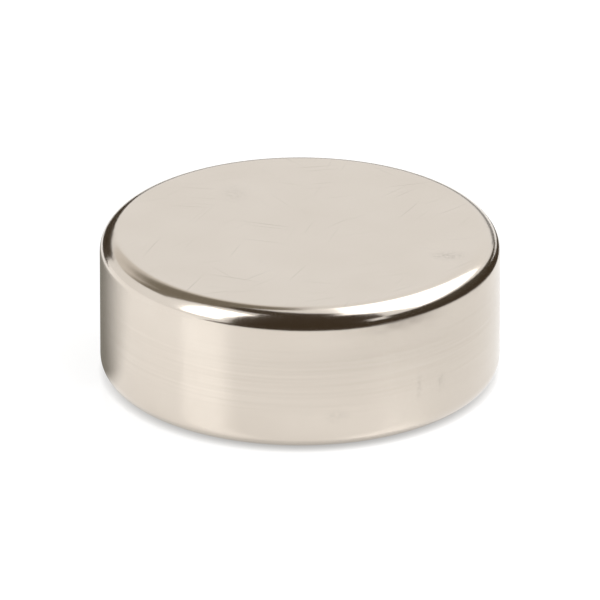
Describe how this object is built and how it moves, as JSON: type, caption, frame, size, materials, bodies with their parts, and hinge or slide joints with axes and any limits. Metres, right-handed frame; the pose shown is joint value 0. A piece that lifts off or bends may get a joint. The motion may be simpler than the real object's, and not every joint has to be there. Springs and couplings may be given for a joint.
{
  "type": "disc magnet",
  "caption": "Nickel-plated disc magnet with flat pole faces and tumbled round edges. It sticks to steel by either face or is glued into a round pocket.",
  "frame": {"origin": "centre of the lower pole face, which is the face the magnet rests on", "axes": "+Z along the magnetic axis, from the lower pole face to the upper one; X and Y lie in the lower face and are alike, because the disc is round"},
  "size_m": [0.008, 0.008, 0.003],
  "materials": {
    "nickel_plating": "bright nickel plate, barrel plated, with a soft satin gloss"
  },
  "bodies": {
    "root": {"disc_magnet": "nickel_plating"}
  },
  "joints": []
}
